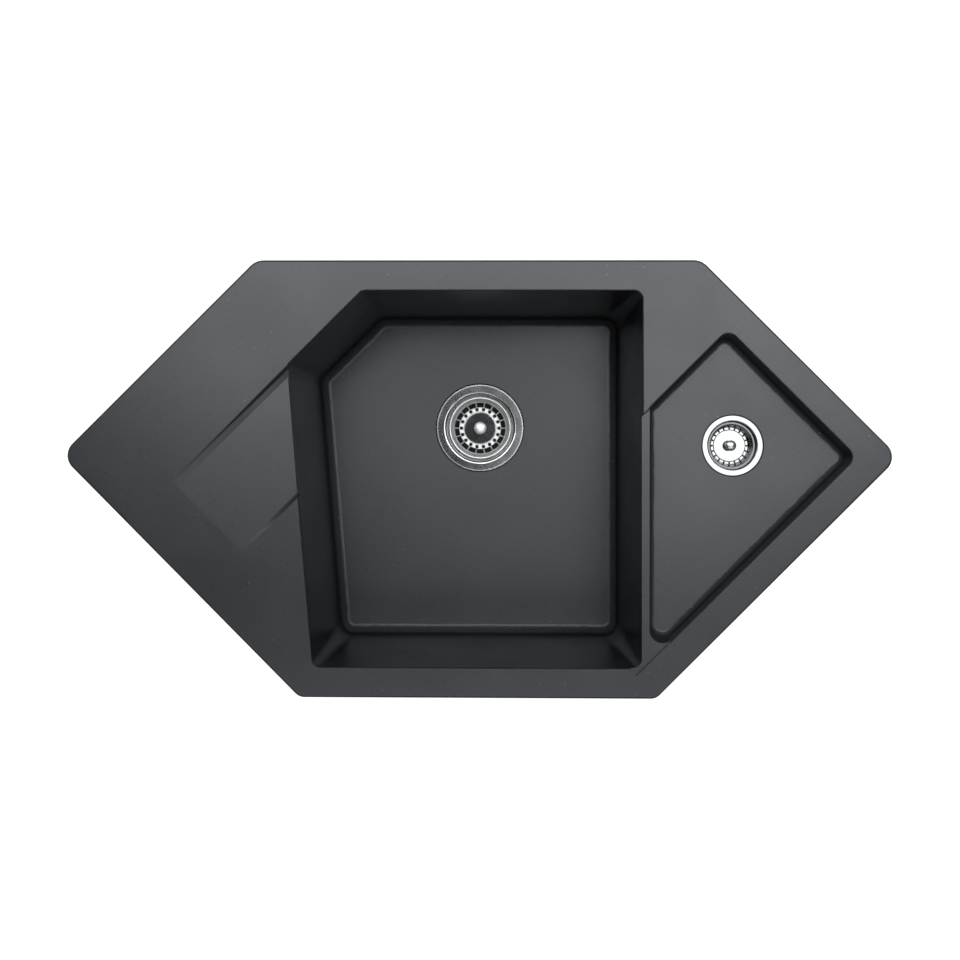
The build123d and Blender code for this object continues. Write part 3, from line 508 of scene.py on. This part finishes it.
def polished_steel(name, middle, rings, shaded_holes=None):
    """Pressed stainless steel with faint turning marks about a waste's middle.

    Its polish and its painted light change from ring to ring, and holes in it may have painted
    shade round them."""
    made, tree, shader, where = new_material(name, Metallic=1.0)
    distance = level_distance(tree, where, middle)
    innermost, *outer_rings = rings
    gloss, tone = innermost[1], steel_tone(innermost[2])
    # each ring's reflectance paints its highlight or shade
    for inner_radius, roughness, reflectance in outer_rings:
        inside, outside = inner_radius - RING_SOFTNESS, inner_radius + RING_SOFTNESS
        beyond = smooth_step(tree, distance, inside, outside)
        gloss = mix_values(tree, beyond, gloss, roughness)
        tone = mix_colours(tree, beyond, tone, steel_tone(reflectance))
    if shaded_holes:
        # painted shade round the holes
        edges = painted_hole_shade_mask(tree, where, middle, *shaded_holes)
        tone = mix_colours(tree, edges, tone, PAINTED_HOLE_SHADE)
    marks = place_group(tree, SOFT_MARKS, where, Scale=60.0, Low=0.35, High=0.8)["Mask"]
    handled = product(tree, marks, HANDLED_SHARE)
    tone = mix_colours(tree, handled, tone, HANDLED_TONE, blend_type="MULTIPLY")
    feed(tree, tone, shader.inputs["Base Color"])
    worn = calculate(tree, "MULTIPLY_ADD", marks, HANDLED_ROUGHNESS, gloss)
    feed(tree, worn, shader.inputs["Roughness"])
    turning = noise(tree, noise_dimensions="1D", W=distance, Scale=3500.0, Detail=2.0)
    add_bump(tree, shader, turning, 0.03, 0.00002)
    return made


def marked_material(name, marks, tones, roughness, **constants):
    """A material whose tone and roughness change where soft marks lie on it.

    Tones and roughness are pairs, for its clean and its marked places."""
    made, tree, shader, where = new_material(name, **constants)
    mask = place_group(tree, SOFT_MARKS, where, **marks)["Mask"]
    feed(tree, mix_colours(tree, mask, *tones), shader.inputs["Base Color"])
    feed(tree, spread(tree, mask, *roughness), shader.inputs["Roughness"])
    return made, tree, shader, where


def zinc_plate():
    """Pressed steel with bright zinc plate, cloudy and slightly yellowed."""
    made, tree, shader, where = marked_material(
        "zinc_plate", dict(Scale=90.0, Low=0.3, High=0.7),
        tones=((0.56, 0.57, 0.58), (0.50, 0.48, 0.42)), roughness=(0.28, 0.45), Metallic=1.0,
    )
    rolled = noise(tree, Vector=where, Scale=900.0, Detail=3.0)
    add_bump(tree, shader, rolled, 0.1, 0.00005)
    return made


def moulded_plastic(name, clean, dusty, roughness, texture_scale):
    """Moulded plastic or rubber with a fine eroded texture and a little dust, which is a
    little rougher than the clean surface."""
    dust_roughness = 0.12
    made, tree, shader, where = marked_material(
        name, dict(Scale=30.0, Low=0.35, High=0.8),
        tones=(clean, dusty), roughness=(roughness, roughness + dust_roughness),
    )
    texture = noise(tree, Vector=where, Scale=texture_scale, Detail=2.0)
    add_bump(tree, shader, texture, 0.15, 0.0001)
    return made


def turned_brass():
    """Brass sleeve with fine turning marks and a little tarnish."""
    made, tree, shader, where = marked_material(
        "turned_brass", dict(Scale=120.0, Low=0.3, High=0.7),
        tones=((0.72, 0.53, 0.24), (0.50, 0.35, 0.16)), roughness=(0.25, 0.4), Metallic=1.0,
    )
    rings = node(tree, "ShaderNodeTexWave", Vector=where, Scale=600.0, bands_direction="Z")
    add_bump(tree, shader, rings.outputs["Fac"], 0.15, 0.00005)
    return made


# ---- which piece has which finish

def give_finish(material, *names):
    """Give CAD nodes a finish."""
    for name in names:
        mesh = nodes[name].data
        mesh.materials.clear()
        mesh.materials.append(material)


give_finish(granite(), "sink_body")
give_finish(polished_steel("main_flange_steel", MAIN, MAIN_FLANGE_RINGS), "main_strainer_cup")
give_finish(
    polished_steel("main_basket_steel", MAIN, MAIN_BASKET_RINGS, MAIN_HOLE_SHADE),
    "main_basket", "main_basket_stem", "main_clamp_bolt",
)
give_finish(polished_steel("main_knob_steel", MAIN, MAIN_KNOB_RINGS), "main_basket_knob")
give_finish(
    polished_steel("prep_waste_steel", PREP, PREP_WASTE_RINGS, PREP_HOLE_SHADE),
    "prep_strainer_cup", "prep_basket", "prep_basket_stem", "prep_clamp_bolt",
)
give_finish(polished_steel("prep_knob_steel", PREP, PREP_KNOB_RINGS), "prep_basket_knob")
clamp_arms = [name for name in nodes if name.startswith("clamp_arm_")]
give_finish(zinc_plate(), "clamp_screws", *clamp_arms)
give_finish(
    moulded_plastic("black_polypropylene", (0.022, 0.022, 0.023), (0.04, 0.04, 0.039), 0.38, 700),
    "main_waste_body", "prep_waste_body", "clamp_plugs",
)
give_finish(
    moulded_plastic("white_polypropylene", (0.80, 0.80, 0.78), (0.70, 0.69, 0.66), 0.28, 900),
    "waste_tee", "tee_nut", "cross_pipe", "pipe_elbow", "elbow_nuts", "prep_drop_pipe",
    "main_outlet_nut", "prep_outlet_nut",
)
give_finish(
    moulded_plastic("black_rubber", (0.018, 0.018, 0.018), (0.035, 0.034, 0.033), 0.6, 1200),
    "main_flange_gasket", "main_body_gasket", "main_basket_seal", "main_outlet_washer",
    "prep_flange_gasket", "prep_body_gasket", "prep_basket_seal", "prep_outlet_washer",
    "tee_washer", "elbow_washers",
)
give_finish(
    moulded_plastic("closed_cell_strip", (0.05, 0.05, 0.052), (0.08, 0.08, 0.08), 0.85, 2500),
    "rim_seal",
)
give_finish(turned_brass(), "main_insert", "prep_insert")


# ---- the studio

def choose_shader(tree, factor, first, second):
    """One shader where the factor is 0, the other where it is 1."""
    made = node(tree, "ShaderNodeMixShader", Fac=factor)
    feed(tree, first, made.inputs[1])
    feed(tree, second, made.inputs[2])
    return made.outputs["Shader"]


def white_floor():
    """A plain white floor just under the tee's outlet, clear when seen from below."""
    bpy.ops.mesh.primitive_circle_add(
        vertices=FLOOR_CORNERS, radius=FLOOR_RADIUS, fill_type="NGON",
        location=(0, 0, LOWEST - FLOOR_DROP),
    )
    floor = bpy.context.object
    floor.name = "studio_floor"
    made = bpy.data.materials.new("studio_white")
    tree = empty_tree(made)
    rays = node(tree, "ShaderNodeLightPath").outputs
    white = mix_colours(tree, rays["Is Camera Ray"], FLOOR_WHITE, FLOOR_SEEN)
    card = node(tree, "ShaderNodeBsdfDiffuse", Color=white)
    glowing = larger(tree, rays["Is Camera Ray"], rays["Is Glossy Ray"])
    level = product(tree, glowing, FLOOR_GLOW)
    glow = node(tree, "ShaderNodeEmission", Color=(1, 1, 1), Strength=level)
    both = node(tree, "ShaderNodeAddShader")
    feed(tree, card.outputs["BSDF"], both.inputs[0])
    feed(tree, glow.outputs["Emission"], both.inputs[1])
    from_below = node(tree, "ShaderNodeNewGeometry").outputs["Backfacing"]
    clear = node(tree, "ShaderNodeBsdfTransparent").outputs["BSDF"]
    surface = choose_shader(tree, from_below, both.outputs["Shader"], clear)
    node(tree, "ShaderNodeOutputMaterial", Surface=surface)
    floor.data.materials.append(made)


def cloth_brightness(tree, where):
    """Brightness of the softbox: a large cloth at the back that ends in a rounded edge, with
    a dark gap over the camera, and a weaker strip along the front."""
    axes = axes_of(tree, where)
    tip_x, tip_y = CLOTH_TIP
    aside = calculate(tree, "SUBTRACT", axes["X"], tip_x)
    bow = product(tree, product(tree, aside, aside), CLOTH_CURVE)
    behind = calculate(tree, "SUBTRACT", axes["Y"], bow)
    edge = (tip_y - CLOTH_SOFTNESS, tip_y + CLOTH_SOFTNESS)
    cloth = smooth_step(tree, behind, *edge, 0.0, CLOTH_LEVEL)
    off_camera = measure(tree, "DISTANCE", where, (*CAMERA_GAP, SOFTBOX_HEIGHT))
    gap_edge = (CAMERA_GAP_RADIUS - CAMERA_GAP_SOFTNESS, CAMERA_GAP_RADIUS + CAMERA_GAP_SOFTNESS)
    cloth = product(tree, cloth, smooth_step(tree, off_camera, *gap_edge))
    strip = smooth_step(tree, axes["Y"], *STRIP_BACK, STRIP_LEVEL, 0.0)
    strip = product(tree, strip, smooth_step(tree, axes["X"], *STRIP_LEFT))
    return calculate(tree, "ADD", cloth, strip)


def softbox():
    """A wide softbox overhead that the camera doesn't see."""
    bpy.ops.mesh.primitive_plane_add(size=1, location=(0, SOFTBOX_MIDDLE_Y, SOFTBOX_HEIGHT))
    panel = bpy.context.object
    panel.name = "overhead_softbox"
    panel.scale = (*SOFTBOX_SIZE, 1)
    panel.rotation_euler = (math.pi, 0, 0)
    bpy.ops.object.transform_apply(location=True, rotation=True, scale=True)
    made = bpy.data.materials.new("softbox_cloth")
    tree = empty_tree(made)
    where = node(tree, "ShaderNodeTexCoord").outputs["Object"]
    brightness = cloth_brightness(tree, where)
    glow = node(tree, "ShaderNodeEmission", Color=SOFTBOX_TINT, Strength=brightness)
    node(tree, "ShaderNodeOutputMaterial", Surface=glow.outputs["Emission"])
    panel.data.materials.append(made)
    panel.visible_camera = False
    panel.visible_shadow = False


def world():
    """White behind the sink; for other rays a dim ceiling over a pale horizon."""
    made = bpy.data.worlds.new("studio")
    tree = empty_tree(made)
    height = axes_of(tree, node(tree, "ShaderNodeTexCoord").outputs["Generated"])["Z"]
    dome = two_tones(tree, height, HORIZON, CEILING)
    fill = node(tree, "ShaderNodeBackground", Color=dome, Strength=WORLD_LEVEL)
    white = node(tree, "ShaderNodeBackground", Color=(1, 1, 1), Strength=1.0)
    seen = node(tree, "ShaderNodeLightPath").outputs["Is Camera Ray"]
    light = choose_shader(tree, seen, fill.outputs["Background"], white.outputs["Background"])
    node(tree, "ShaderNodeOutputWorld", Surface=light)
    bpy.context.scene.world = made


def camera():
    """Almost straight above the deck, turned and shifted by as little as the photo shows."""
    lens = bpy.data.cameras.new("camera")
    lens.lens = LENS
    lens.sensor_width = SENSOR
    lens.shift_x, lens.shift_y = LENS_SHIFT
    lens.clip_end = FURTHEST_SEEN
    eye = bpy.data.objects.new("camera", lens)
    eye.location = (*CAMERA_PLACE, DECK_TOP + CAMERA_HEIGHT)
    eye.rotation_mode = "ZYX"
    eye.rotation_euler = CAMERA_TURN
    bpy.context.scene.collection.objects.link(eye)
    bpy.context.scene.camera = eye


white_floor()
softbox()
world()
camera()
bpy.context.scene.view_settings.view_transform = "Standard"
